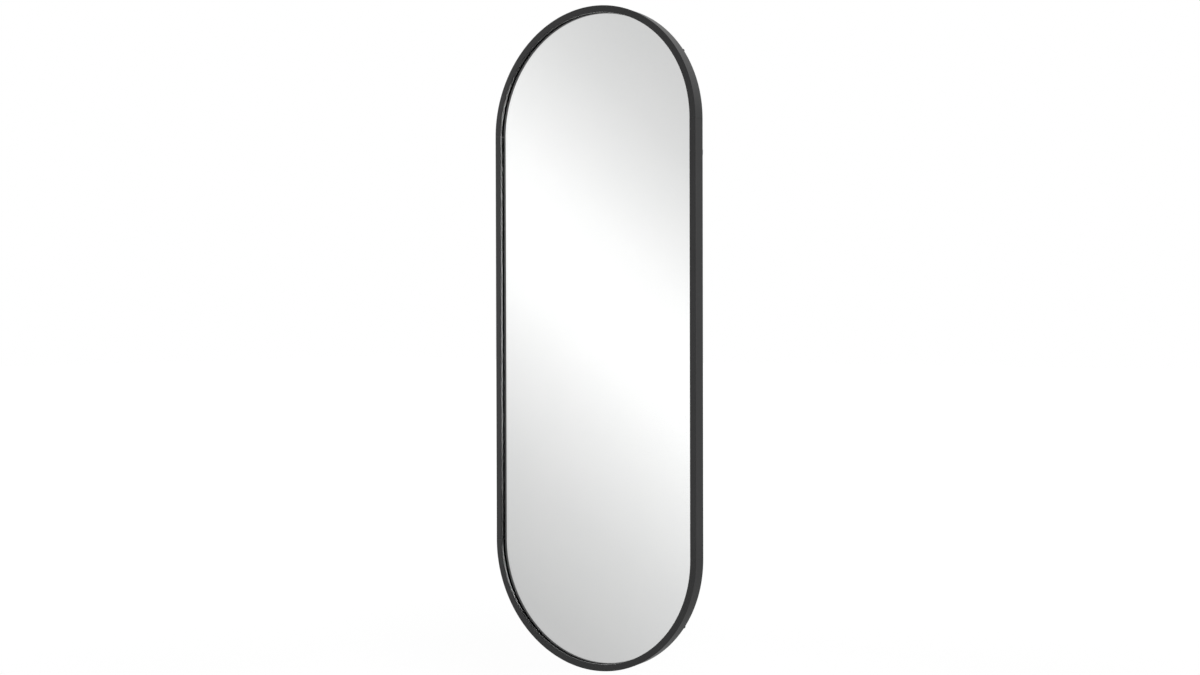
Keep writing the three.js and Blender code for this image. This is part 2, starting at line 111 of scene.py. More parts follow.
def ranged(tree, value, low, high, from_low=0.3, from_high=0.7, interpolation="LINEAR"):
    """The value's middle range carried over to low..high."""
    node = tree.nodes.new("ShaderNodeMapRange")
    node.interpolation_type = interpolation
    node.inputs["From Min"].default_value = from_low
    node.inputs["From Max"].default_value = from_high
    node.inputs["To Min"].default_value = low
    node.inputs["To Max"].default_value = high
    tree.links.new(value, node.inputs["Value"])
    return node.outputs["Result"]


def ramped(tree, value, *stops):
    """A colour ramp over the value, with (place, colour) stops."""
    node = tree.nodes.new("ShaderNodeValToRGB")
    elements = node.color_ramp.elements
    # A new stop may begin anywhere, because each gets its own place below.
    while len(elements) < len(stops):
        elements.new(0.5)
    for element, (place, colour) in zip(elements, stops):
        element.position = place
        element.color = (*colour, 1)
    tree.links.new(value, node.inputs["Fac"])
    return node.outputs["Color"]


def bumped(tree, shader, height, distance, strength):
    """The height as a bump of that many metres on the shader."""
    node = tree.nodes.new("ShaderNodeBump")
    node.inputs["Distance"].default_value = distance
    node.inputs["Strength"].default_value = strength
    tree.links.new(height, node.inputs["Height"])
    tree.links.new(node.outputs["Normal"], shader.inputs["Normal"])


def math_node(tree, operation, *values):
    """The result of a Math node of numbers or sockets."""
    node = tree.nodes.new("ShaderNodeMath")
    node.operation = operation
    for socket, value in zip(node.inputs, values):
        if isinstance(value, (int, float)):
            socket.default_value = value
        else:
            tree.links.new(value, socket)
    return node.outputs[0]


satin_black, tree, shader = fresh_material("satin_black_anodised")
cast = noise(tree, scale=9, detail=2)
dye = ramped(tree, cast, (0.3, (0.0065, 0.0065, 0.007)), (0.7, (0.0095, 0.0095, 0.010)))
tree.links.new(dye, shader.inputs["Base Color"])
blast = noise(tree, scale=2600, detail=2)
handling = noise(tree, scale=26, detail=4)
grain = math_node(tree, "MULTIPLY_ADD", blast, BLAST_SHARE, handling)
satin = ranged(tree, grain, low=0.275, high=0.30, from_low=0.45, from_high=0.9)
tree.links.new(satin, shader.inputs["Roughness"])
shader.inputs["Metallic"].default_value = 0.0
shader.inputs["IOR"].default_value = 1.45
bumped(tree, shader, blast, distance=0.000012, strength=0.5)


def arc(middle_x, middle_y, radius, start, stop, steps):
    """Points on an arc, its ends included, with the angles in degrees."""
    angles = (math.radians(start + (stop - start) * i / steps) for i in range(steps + 1))
    return [
        (middle_x + radius * math.cos(angle), middle_y + radius * math.sin(angle))
        for angle in angles
    ]


def section():
    """The frame's outline: how far in from the outer side, and how far back from the front face."""
    wall, outer, inner = SECTION_WALL, OUTER_EDGE_RADIUS, INNER_EDGE_RADIUS
    shelf = channel_floor - wall
    return [
        *arc(outer, outer, outer, 180, 270, OUTER_EDGE_STEPS),
        *arc(FACE_WIDTH - inner, inner, inner, 270, 360, INNER_EDGE_STEPS),
        (FACE_WIDTH, LIP_DEPTH),
        (FACE_WIDTH - wall, LIP_DEPTH),
        (FACE_WIDTH - wall, wall),
        (wall, wall),
        (wall, shelf),
        (channel_inside + wall, shelf),
        (channel_inside + wall, FRAME_DEPTH),
        (slot_inside, FRAME_DEPTH),
        (slot_inside, channel_mouth),
        (channel_inside, channel_mouth),
        (channel_inside, channel_floor),
        (wall, channel_floor),
        (wall, channel_mouth),
        (slot_outside, channel_mouth),
        (slot_outside, FRAME_DEPTH),
        *arc(outer, FRAME_DEPTH - outer, outer, 90, 180, OUTER_EDGE_STEPS),
    ]


def shrunk(outline, by):
    """The outline with every wall drawn in a little, for the broken edge of a saw cut."""
    points = [Vector(point) for point in outline]
    drawn_in = []
    for i, here in enumerate(points):
        before = (here - points[i - 1]).normalized()
        after = (points[(i + 1) % len(points)] - here).normalized()
        square = Vector((-before.y, before.x))
        mitre = (square + Vector((-after.y, after.x))).normalized()
        drawn_in.append(tuple(here + mitre * by / max(mitre.dot(square), SHARPEST_MITRE)))
    return drawn_in


def mesh_object(name, mesh, material, sharp=32):
    """An object from a finished bmesh, smooth but for its sharp edges."""
    bmesh.ops.recalc_face_normals(mesh, faces=mesh.faces)
    data = bpy.data.meshes.new(name)
    mesh.to_mesh(data)
    mesh.free()
    for polygon in data.polygons:
        polygon.use_smooth = True
    data.set_sharp_from_angle(angle=math.radians(sharp))
    data.materials.append(material)
    piece = bpy.data.objects.new(name, data)
    bpy.context.scene.collection.objects.link(piece)
    return piece


def weighted(piece):
    """Flat faces keep their flat shading beside rounded edges."""
    modifier = piece.modifiers.new("flat faces", "WEIGHTED_NORMAL")
    modifier.keep_sharp = True
    modifier.weight = FLAT_FACE_WEIGHT
    return piece


def walled(mesh, ring, next_ring, open_side=None):
    """Side faces between two rings of corners. One side may stay open."""
    for i in range(len(ring)):
        j = (i + 1) % len(ring)
        if i != open_side:
            mesh.faces.new((ring[i], ring[j], next_ring[j], next_ring[i]))


def swept(name, stations, material):
    """The frame's section along (point, inward) stations, with the broken edges of its two cuts."""
    mesh = bmesh.new()
    full, cut = section(), shrunk(section(), CUT_EDGE)
    rings = []
    for i, (point, inward) in enumerate(stations):
        outline = cut if i in (0, len(stations) - 1) else full
        rings.append([
            mesh.verts.new(point + inward * x + Vector((0, y, 0))) for x, y in outline
        ])
    for ring, next_ring in zip(rings, rings[1:]):
        walled(mesh, ring, next_ring)
    for ring in (rings[0], rings[-1]):
        cap = mesh.faces.new(ring)
        bmesh.ops.triangulate(mesh, faces=[cap])
    return weighted(mesh_object(name, mesh, material))


def end_stations(up):
    """Stations round an end, on its outer side."""
    break_angle = CUT_EDGE / end_radius
    angles = [0, break_angle]
    angles += [math.pi * i / END_STEPS for i in range(1, END_STEPS)]
    angles += [math.pi - break_angle, math.pi]
    centre = Vector((0, at_depth(0), up * seam_height))
    for angle in angles:
        outward = Vector((math.cos(angle), 0, up * math.sin(angle)))
        yield centre + outward * end_radius, -outward


def rail_stations(right):
    """Stations down a rail, on its outer side."""
    top = seam_height - SEAM_GAP
    for z in (-top, -top + CUT_EDGE, top - CUT_EDGE, top):
        yield Vector((right * end_radius, at_depth(0), z)), Vector((-right, 0, 0))


for name, stations in (
    ("frame_top_arc", end_stations(1)),
    ("frame_bottom_arc", end_stations(-1)),
    ("frame_left_rail", rail_stations(-1)),
    ("frame_right_rail", rail_stations(1)),
):
    piece = swept(name + "_satin", list(stations), satin_black)
    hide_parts(name)
    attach(piece, "mirror")

# The mirror glass
# A 6 mm sheet of clear float glass cut to a capsule, with its edges arrised. Its back is silvered and
# painted grey, so its thickness shows as a dark line between the lip and the lip's own reflection.

SEAT_GAP = 0.0003
GLASS_FRONT = LIP_DEPTH + SEAT_GAP
GLASS_THICKNESS = 0.006
GLASS_INSET = 0.0035
ARRIS = 0.0005
PAINT = 0.00005
PAINT_SHARE = 0.6

clear_glass, tree, shader = fresh_material("clear_float_glass")
melt = noise(tree, scale=5, detail=2)
wiped = noise(tree, scale=70, detail=5, roughness=0.6, stretch=(1, 1, 0.12))
tint = ramped(tree, melt, (0.3, (0.991, 0.999, 0.995)), (0.7, (0.996, 1.0, 0.998)))
tree.links.new(tint, shader.inputs["Base Color"])
smears = ranged(tree, wiped, low=0.0, high=0.012, from_low=0.5, from_high=0.8)
tree.links.new(smears, shader.inputs["Roughness"])
shader.inputs["IOR"].default_value = 1.52
shader.inputs["Transmission Weight"].default_value = 1.0

silver, tree, shader = fresh_material("mirror_silver")
sprayed = noise(tree, scale=12, detail=3)
coat = ramped(tree, sprayed, (0.3, (0.960, 0.962, 0.961)), (0.7, (0.969, 0.969, 0.968)))
tree.links.new(coat, shader.inputs["Base Color"])
tree.links.new(ranged(tree, sprayed, low=0.0, high=0.003), shader.inputs["Roughness"])
shader.inputs["Metallic"].default_value = 1.0

mirror_paint, tree, shader = fresh_material("grey_mirror_backing_paint")
roll = noise(tree, scale=60, detail=4, stretch=(1, 1, 0.2))
coat = ramped(tree, roll, (0.3, (0.17, 0.18, 0.19)), (0.7, (0.21, 0.22, 0.23)))
tree.links.new(coat, shader.inputs["Base Color"])
tree.links.new(ranged(tree, roll, low=0.5, high=0.7), shader.inputs["Roughness"])
bumped(tree, shader, roll, distance=0.00004, strength=0.5)


def capsule(inset):
    """The mirror's outline in X and Z, set in all round."""
    radius = end_radius - inset
    top = arc(0, seam_height, radius, 0, 180, END_STEPS)
    bottom = arc(0, -seam_height, radius, 180, 360, END_STEPS)
    return top + bottom


def slab(name, layers, material, back=0):
    """A flat sheet from (inset, depth) outlines, front to back. Its back may be of another material."""
    mesh = bmesh.new()
    rings = [
        [mesh.verts.new((x, at_depth(depth), z)) for x, z in capsule(inset)]
        for inset, depth in layers
    ]
    for ring, next_ring in zip(rings, rings[1:]):
        walled(mesh, ring, next_ring)
    mesh.faces.new(rings[0])
    mesh.faces.new(rings[-1]).material_index = back
    return mesh_object(name, mesh, material, sharp=20)


pane = slab(
    "mirror_pane",
    [
        (GLASS_INSET + ARRIS, GLASS_FRONT),
        (GLASS_INSET, GLASS_FRONT + ARRIS),
        (GLASS_INSET, GLASS_FRONT + GLASS_THICKNESS - ARRIS),
        (GLASS_INSET + ARRIS, GLASS_FRONT + GLASS_THICKNESS - PAINT),
    ],
    clear_glass,
    back=1,
)
pane.data.materials.append(silver)
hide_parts("mirror_glass")
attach(pane, "mirror")

paint = slab(
    "mirror_back_paint",
    [
        (GLASS_INSET + ARRIS, GLASS_FRONT + GLASS_THICKNESS - PAINT * PAINT_SHARE),
        (GLASS_INSET + ARRIS, GLASS_FRONT + GLASS_THICKNESS),
    ],
    mirror_paint,
)
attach(paint, "mirror")

# The card liner and the backing board
# Grey card lies against the mirror's paint, and 3 mm hardboard closes the back. Its screen side, with
# the fine weave that the press leaves, faces the wall.

CARD_THICKNESS = 0.001
BOARD_THICKNESS = 0.003
BOARD_FRONT = GLASS_FRONT + GLASS_THICKNESS + SEAT_GAP + CARD_THICKNESS + SEAT_GAP
BOARD_INSET = 0.0025
BOARD_EDGE = 0.0003

grey_card, tree, shader = fresh_material("grey_card")
pulp = noise(tree, scale=900, detail=4, stretch=(1, 1, 0.35))
card_grey = ramped(tree, pulp, (0.3, (0.27, 0.255, 0.235)), (0.7, (0.38, 0.36, 0.335)))
tree.links.new(card_grey, shader.inputs["Base Color"])
tree.links.new(ranged(tree, pulp, low=0.84, high=0.96), shader.inputs["Roughness"])
bumped(tree, shader, pulp, distance=0.00008, strength=0.5)


def in_material(name, material):
    """Gives a CAD piece that keeps its own shape the material of the real one."""
    nodes[name].data.materials.clear()
    nodes[name].data.materials.append(material)


in_material("card_liner", grey_card)


def colour_mix(tree, factor, first, second, blend="MIX"):
    """The result of a colour mix. Each of its three inputs is a socket or a fixed value."""
    node = tree.nodes.new("ShaderNodeMix")
    node.data_type = "RGBA"
    node.blend_type = blend
    for name, value in (("Factor", factor), ("A", first), ("B", second)):
        if isinstance(value, bpy.types.NodeSocket):
            tree.links.new(value, node.inputs[name])
        else:
            node.inputs[name].default_value = value
    return node.outputs["Result"]


hardboard, tree, shader = fresh_material("hardboard_screen_side")
fibres = noise(tree, scale=240, detail=6, roughness=0.7, stretch=(1, 1, 0.5))
clouds = noise(tree, scale=14, detail=3)
brown = ramped(
    tree, fibres, (0.25, (0.085, 0.050, 0.027)), (0.5, (0.150, 0.092, 0.053)), (0.8, (0.240, 0.155, 0.092)))
place = tree.nodes.new("ShaderNodeTexCoord")
waves = []
for direction in ("X", "Z"):
    wave = tree.nodes.new("ShaderNodeTexWave")
    wave.wave_type = "BANDS"
    wave.bands_direction = direction
    wave.inputs["Scale"].default_value = 140
    wave.inputs["Distortion"].default_value = 0.6
    wave.inputs["Detail"].default_value = 1
    tree.links.new(place.outputs["Object"], wave.inputs["Vector"])
    waves.append(wave.outputs["Fac"])
weave = math_node(tree, "MAXIMUM", *waves)
for pattern, factor, stops in (
    (clouds, 0.5, ((0.3, (0.75, 0.75, 0.75)), (0.7, (1, 1, 1)))),
    (weave, 0.45, ((0.45, (0.60, 0.58, 0.56)), (0.95, (1.15, 1.15, 1.15)))),
):
    brown = colour_mix(tree, factor, brown, ramped(tree, pattern, *stops), "MULTIPLY")
tree.links.new(brown, shader.inputs["Base Color"])
tree.links.new(ranged(tree, fibres, low=0.74, high=0.9), shader.inputs["Roughness"])
bumped(tree, shader, weave, distance=0.00025, strength=0.7)

board = slab(
    "hardboard_back",
    [
        (BOARD_INSET + BOARD_EDGE, BOARD_FRONT),
        (BOARD_INSET, BOARD_FRONT + BOARD_EDGE),
        (BOARD_INSET, BOARD_FRONT + BOARD_THICKNESS - BOARD_EDGE),
        (BOARD_INSET + BOARD_EDGE, BOARD_FRONT + BOARD_THICKNESS),
    ],
    hardboard,
)
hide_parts("backing_board")
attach(board, "mirror")

# Spring clips
# Bowed leaves of blued spring steel, with rounded corners. Each is slid in between the board and the
# back channel, where its middle presses on the channel and its two feet on the board.

CLIP_LENGTH = 0.048
CLIP_WIDTH = 0.016
CLIP_THICKNESS = 0.0007
CLIP_FROM_OUTSIDE = 0.004
CLIP_CORNER = 0.0025
CLIP_CORNER_STEPS = 6
CLIP_EDGE = 0.00012
CLIP_WAVE_SHARE = 0.72
CLIP_STEPS = 40
RAIL_CLIP_SHARES = (-0.75, -0.25, 0.25, 0.75)
END_CLIP_ANGLES = (45, 90, 135)
BROKEN_EDGE_SEGMENTS = 2
BROKEN_EDGE_ANGLE = math.radians(40)

board_back = BOARD_FRONT + BOARD_THICKNESS

blued, tree, shader = fresh_material("blued_spring_steel")
temper = noise(tree, scale=90, detail=4, stretch=(1, 1, 0.3))
rolled = noise(tree, scale=900, detail=2, stretch=(0.15, 1, 1))
blue = ramped(
    tree, temper, (0.3, (0.075, 0.085, 0.125)), (0.55, (0.115, 0.125, 0.155)), (0.75, (0.165, 0.155, 0.145)))
tree.links.new(blue, shader.inputs["Base Color"])
tree.links.new(ranged(tree, rolled, low=0.22, high=0.38), shader.inputs["Roughness"])
shader.inputs["Metallic"].default_value = 1.0
bumped(tree, shader, rolled, distance=0.00001, strength=0.5)


def with_broken_edges(piece, width):
    """The piece with its sharp edges rounded over."""
    modifier = piece.modifiers.new("broken edges", "BEVEL")
    modifier.width = width
    modifier.segments = BROKEN_EDGE_SEGMENTS
    modifier.limit_method = "ANGLE"
    modifier.angle_limit = BROKEN_EDGE_ANGLE
    return weighted(piece)


def stitched(mesh, rings):
    """Side faces along a run of rings, and a cap on each of its ends."""
    for ring, next_ring in zip(rings, rings[1:]):
        walled(mesh, ring, next_ring)
    mesh.faces.new(rings[0])
    mesh.faces.new(rings[-1])


def spring_leaf(name, place):
    """A bowed leaf. The place turns in, along and depth into a point of the mirror."""
    rise = channel_floor - SECTION_WALL - board_back - 2 * SEAT_GAP - CLIP_THICKNESS
    half = CLIP_LENGTH / 2
    straight = half - CLIP_CORNER
    foot = arc(CLIP_CORNER - half, CLIP_CORNER, CLIP_CORNER, 180, 270, CLIP_CORNER_STEPS)
    middle = [(straight * (2 * i / CLIP_STEPS - 1), 0) for i in range(1, CLIP_STEPS)]
    tip = [(-along, narrow) for along, narrow in reversed(foot)]
    mesh = bmesh.new()
    rings = []
    for along, narrow in foot + middle + tip:
        wave = math.cos(2 * math.pi * along / (CLIP_WAVE_SHARE * CLIP_LENGTH))
        front = board_back + SEAT_GAP + rise * (1 + wave) / 2
        sides = (CLIP_FROM_OUTSIDE + narrow, CLIP_FROM_OUTSIDE + CLIP_WIDTH - narrow)
        rings.append([
            mesh.verts.new(place(inward, along, front + thick))
            for inward, thick in (
                (sides[0], 0), (sides[1], 0), (sides[1], CLIP_THICKNESS), (sides[0], CLIP_THICKNESS))
        ])
    stitched(mesh, rings)
    piece = with_broken_edges(mesh_object(name, mesh, blued), CLIP_EDGE)
    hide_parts(name.removesuffix("_leaf"))
    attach(piece, "mirror")


def beside_rail(right, middle):
    """A place on a rail: how far in from its outer side, how far along it, and its depth."""
    return lambda inward, along, depth: Vector(
        (right * (end_radius - inward), at_depth(depth), middle + along))


def beside_end(up, angle):
    """The same on a round end, at an angle from its right-hand seam."""
    out = Vector((math.cos(angle), 0, up * math.sin(angle)))
    side = Vector((-math.sin(angle), 0, up * math.cos(angle)))
    centre = Vector((0, 0, up * seam_height))
    return lambda inward, along, depth: (
        centre + out * (end_radius - inward) + side * along + Vector((0, at_depth(depth), 0)))


for rail, right in (("right", 1), ("left", -1)):
    for i, share in enumerate(RAIL_CLIP_SHARES):
        spring_leaf(f"spring_clip_{rail}_{i + 1}_leaf", beside_rail(right, share * seam_height))
for end, up in (("top", 1), ("bottom", -1)):
    for i, angle in enumerate(END_CLIP_ANGLES):
        spring_leaf(f"spring_clip_{end}_{i + 1}_leaf", beside_end(up, math.radians(angle)))

# The joiner keys
# Flat bars of zinc-plated steel, one across each seam of the frame. Each is slid along the back
# channel, with one half bent to the end's curve, and has two tapped holes for its set screws.

KEY_LENGTH = 0.060
KEY_SCREW_SHARE = 0.55
KEY_EDGE = 0.0003
KEY_BEND_STEPS = 16
HOLE_RADIUS = 0.0023
HOLE_STEPS = 32

slot_radius = end_radius - (slot_inside - SLOT_WIDTH / 2)
bar_width = CHANNEL_WIDTH - 2 * SEAT_GAP
bar_thickness = CHANNEL_HEIGHT - 2 * SEAT_GAP
bar_front = channel_floor + SEAT_GAP
bar_outside = end_radius - SECTION_WALL - SEAT_GAP
bar_inside = bar_outside - bar_width
key_half = KEY_LENGTH / 2
key_angle = math.degrees(key_half / slot_radius)

zinc, tree, shader = fresh_material("zinc_plate")
crystals = noise(tree, scale=700, detail=3)
bloom = noise(tree, scale=60, detail=3)
plated = ramped(
    tree, bloom, (0.3, (0.50, 0.52, 0.56)), (0.55, (0.60, 0.61, 0.62)), (0.75, (0.64, 0.62, 0.56)))
tree.links.new(plated, shader.inputs["Base Color"])
tree.links.new(ranged(tree, crystals, low=0.24, high=0.42), shader.inputs["Roughness"])
shader.inputs["Metallic"].default_value = 1.0
bumped(tree, shader, crystals, distance=0.00002, strength=0.4)


def pressed_plate(mesh, outline, holes, front, thickness, open_side=None):
    """A flat plate in the mesh, from an outline in X and Z and its round holes."""
    loops = [outline, *holes]
    flat = [[Vector((x, z, 0)) for x, z in points] for points in loops]
    sides = []
    for depth in (front, front + thickness):
        sides.append([[mesh.verts.new((x, at_depth(depth), z)) for x, z in points] for points in loops])
    for side in sides:
        corners = [corner for points in side for corner in points]
        for triangle in tessellate_polygon(flat):
            mesh.faces.new([corners[i] for i in triangle])
    (front_edge, *front_holes), (back_edge, *back_holes) = sides
    walled(mesh, front_edge, back_edge, open_side)
    for front_hole, back_hole in zip(front_holes, back_holes):
        walled(mesh, front_hole, back_hole)


def round_hole(x, z):
    """A screw hole's points."""
    return arc(x, z, HOLE_RADIUS, 360, 0, HOLE_STEPS)[:-1]


key_screw_places = {
    "rail": (slot_radius, seam_height - KEY_SCREW_SHARE * key_half),
    "end": (
        slot_radius * math.cos(math.radians(KEY_SCREW_SHARE * key_angle)),
        seam_height + slot_radius * math.sin(math.radians(KEY_SCREW_SHARE * key_angle)),
    ),
}
quarters = [(end, up, rail, right) for end, up in (("top", 1), ("bottom", -1))
            for rail, right in (("right", 1), ("left", -1))]

for end, up, rail, right in quarters:
    key = bmesh.new()
    outline = [
        (bar_inside, seam_height - key_half),
        (bar_outside, seam_height - key_half),
        *arc(0, seam_height, bar_outside, 0, key_angle, KEY_BEND_STEPS),
        *arc(0, seam_height, bar_inside, key_angle, 0, KEY_BEND_STEPS),
    ]
    holes = [round_hole(x, z) for x, z in key_screw_places.values()]
    pressed_plate(
        key,
        [(right * x, up * z) for x, z in outline],
        [[(right * x, up * z) for x, z in hole] for hole in holes],
        bar_front,
        bar_thickness,
    )
    piece = with_broken_edges(mesh_object(f"key_bar_{end}_{rail}", key, zinc), KEY_EDGE)
    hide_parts(f"joiner_key_{end}_{rail}")
    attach(piece, "mirror")

# The keys' set screws
# M4 set screws of zinc-plated steel with a hexagon socket and a flat point. They are turned in from
# the wall's side through the channel's slot.

THREAD_RADIUS = 0.002
THREAD_PITCH = 0.0007
THREAD_DEPTH = 0.00038
THREAD_GROOVE_SHARE = 0.8
THREAD_STEPS = 8
SCREW_CHAMFER = 0.0004
HEX_ACROSS_FLATS = 0.002
HEX_DEPTH = 0.002
FINE_CHAMFER = 0.0001
ROUND_STEP = 6
ROUND_ANGLES = [math.radians(degrees) for degrees in range(0, 360, ROUND_STEP)]


def thread_radius(angle, height, length):
    """The radius of a threaded shank, drawn in at both of its ends."""
    turn = (height / THREAD_PITCH - angle / (2 * math.pi)) % 1
    flank = abs(2 * turn - 1)
    crest = THREAD_RADIUS - THREAD_DEPTH * max(0, 1 - flank / THREAD_GROOVE_SHARE)
    tip = THREAD_RADIUS - SCREW_CHAMFER
    return min(crest, tip + height, tip + length - height)


def round_point(at, angle, radius, height):
    """A point round an axis that starts at a place and points at the wall."""
    return at + Vector((math.cos(angle) * radius, height, math.sin(angle) * radius))


def ring_at(mesh, at, height, angles, radius):
    """One ring of corners. Its radius is a number, or a function of the angle."""
    ring = []
    for angle in angles:
        reach = radius(angle) if callable(radius) else radius
        ring.append(mesh.verts.new(round_point(at, angle, reach, height)))
    return ring


def threaded_rings(mesh, at, length, angles):
    """Rings of corners up a threaded shank that points at the wall."""
    count = math.ceil(length / THREAD_PITCH * THREAD_STEPS)
    rings = []
    for i in range(count + 1):
        height = length * i / count
        rings.append(ring_at(mesh, at, height, angles, lambda angle: thread_radius(angle, height, length)))
    return rings


def hexagon(angle):
    """How far out a hexagon socket's wall lies at an angle."""
    sixth = math.pi / 3
    return HEX_ACROSS_FLATS / 2 / math.cos((angle + sixth / 2) % sixth - sixth / 2)


set_screw_length = FRAME_DEPTH - bar_front - SEAT_GAP
for end, up, rail, right in quarters:
    for side, (x, z) in key_screw_places.items():
        at = Vector((right * x, at_depth(bar_front), up * z))
        mesh = bmesh.new()
        rings = threaded_rings(mesh, at, set_screw_length, ROUND_ANGLES)
        top = set_screw_length
        rings.append(ring_at(mesh, at, top, ROUND_ANGLES, lambda angle: hexagon(angle) + FINE_CHAMFER))
        rings.append(ring_at(mesh, at, top - FINE_CHAMFER, ROUND_ANGLES, hexagon))
        rings.append(ring_at(mesh, at, top - HEX_DEPTH, ROUND_ANGLES, hexagon))
        stitched(mesh, rings)
        piece = mesh_object(f"set_screw_{end}_{rail}_{side}", mesh, zinc)
        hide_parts(f"joiner_screw_{end}_{rail}_{side}")
        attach(piece, "mirror")

# The hangers' straps and tapped bars
# Strips of 1.2 mm zinc-plated steel with rounded feet, rolled over at the top into an eye for the
# ring. A tapped bar lies behind each one in the channel, and two screws draw the two together.

HANGER_FROM_SEAM = 0.060
STRAP_WIDTH = 0.010
STRAP_THICKNESS = 0.0012
STRAP_CORNER = 0.003
STRAP_CORNER_STEPS = 10
STRAP_END_MARGIN = 0.0055
STRAP_EDGE = 0.0002
NUT_END_MARGIN = 0.009
EYE_CLEARANCE = 0.00035
EYE_WRAP = 280
EYE_STEPS = 40
EYE_WELD = 0.000001
RING_WIRE = 0.0025
SCREW_DROPS = {"upper": 0.0246, "lower": 0.0406}

strap_front = FRAME_DEPTH + SEAT_GAP
eye_inner = RING_WIRE / 2 + EYE_CLEARANCE
eye_outer = eye_inner + STRAP_THICKNESS
ring_depth = strap_front + eye_outer
ring_height = seam_height - HANGER_FROM_SEAM
strap_foot = SCREW_DROPS["lower"] + STRAP_END_MARGIN

for rail, right in (("right", 1), ("left", -1)):
    x = right * slot_radius
    half = STRAP_WIDTH / 2
    foot = ring_height - strap_foot
    mesh = bmesh.new()
    outline = [
        (x + half, ring_height),
        (x - half, ring_height),
        *arc(x - half + STRAP_CORNER, foot + STRAP_CORNER, STRAP_CORNER, 180, 270, STRAP_CORNER_STEPS),
        *arc(x + half - STRAP_CORNER, foot + STRAP_CORNER, STRAP_CORNER, 270, 360, STRAP_CORNER_STEPS),
    ]
    holes = [round_hole(x, ring_height - drop) for drop in SCREW_DROPS.values()]
    pressed_plate(mesh, outline, holes, strap_front, STRAP_THICKNESS, open_side=0)
    rings = []
    for i in range(EYE_STEPS + 1):
        turn = math.radians(180 - EYE_WRAP * i / EYE_STEPS)
        rings.append([
            mesh.verts.new((x + side * half, at_depth(ring_depth + radius * math.cos(turn)),
                            ring_height + radius * math.sin(turn)))
            for side, radius in ((1, eye_outer), (-1, eye_outer), (-1, eye_inner), (1, eye_inner))
        ])
    for ring, next_ring in zip(rings, rings[1:]):
        walled(mesh, ring, next_ring)
    mesh.faces.new(rings[-1])
    bmesh.ops.remove_doubles(mesh, verts=mesh.verts, dist=EYE_WELD)
    piece = with_broken_edges(mesh_object(f"rolled_strap_{rail}", mesh, zinc), STRAP_EDGE)
    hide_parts(f"hanger_strap_{rail}")
    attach(piece, "mirror")

    mesh = bmesh.new()
    sides = (right * bar_inside, right * bar_outside)
    low = ring_height - SCREW_DROPS["lower"] - NUT_END_MARGIN
    high = ring_height - SCREW_DROPS["upper"] + NUT_END_MARGIN
    outline = [(sides[0], low), (sides[1], low), (sides[1], high), (sides[0], high)]
    pressed_plate(mesh, outline, holes, bar_front, bar_thickness)
    piece = with_broken_edges(mesh_object(f"tapped_bar_{rail}", mesh, zinc), KEY_EDGE)
    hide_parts(f"hanger_nut_{rail}")
    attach(piece, "mirror")

# The hangers' screws
# M4 machine screws of zinc-plated steel, with low domed heads and a cross recess. They are driven
# through the strap and the channel's slot into the tapped bar.

HEAD_RADIUS = 0.0036
HEAD_HEIGHT = 0.002
HEAD_RIM = 0.0007
CROSS_HALF_LENGTH = 0.002
CROSS_HALF_WIDTH = 0.00045
CROSS_DEPTH = 0.0012
CROSS_TAPER_SHARE = 0.55
CROSS_CORNER_STEPS = 3
DOME_STEPS = 10
DOME_STEP_ANGLE = 5
RECESS_RIM_STEPS = 5
ROUNDING = 1e-9

arm = math.atan2(CROSS_HALF_WIDTH, CROSS_HALF_LENGTH)
quadrant = [0, arm / 2, arm]
quadrant += [arm + (math.pi / 4 - arm) * (i + 1) / CROSS_CORNER_STEPS for i in range(CROSS_CORNER_STEPS)]
quadrant += [math.pi / 2 - angle for angle in reversed(quadrant[1:-1])]
CROSS_ANGLES = [angle + quarter * math.pi / 2 for quarter in range(4) for angle in quadrant]


def cross(angle):
    """How far out the cross recess's wall lies at an angle."""
    folded = angle % (math.pi / 2)
    folded = min(folded, math.pi / 2 - folded)
    if folded <= arm + ROUNDING:
        return CROSS_HALF_LENGTH / math.cos(folded)
    return CROSS_HALF_WIDTH / math.sin(folded)


def dome(radius):
    """The height of the domed head above its flat underside."""
    return HEAD_RIM + (HEAD_HEIGHT - HEAD_RIM) * math.sqrt(max(0, 1 - (radius / HEAD_RADIUS) ** 2))


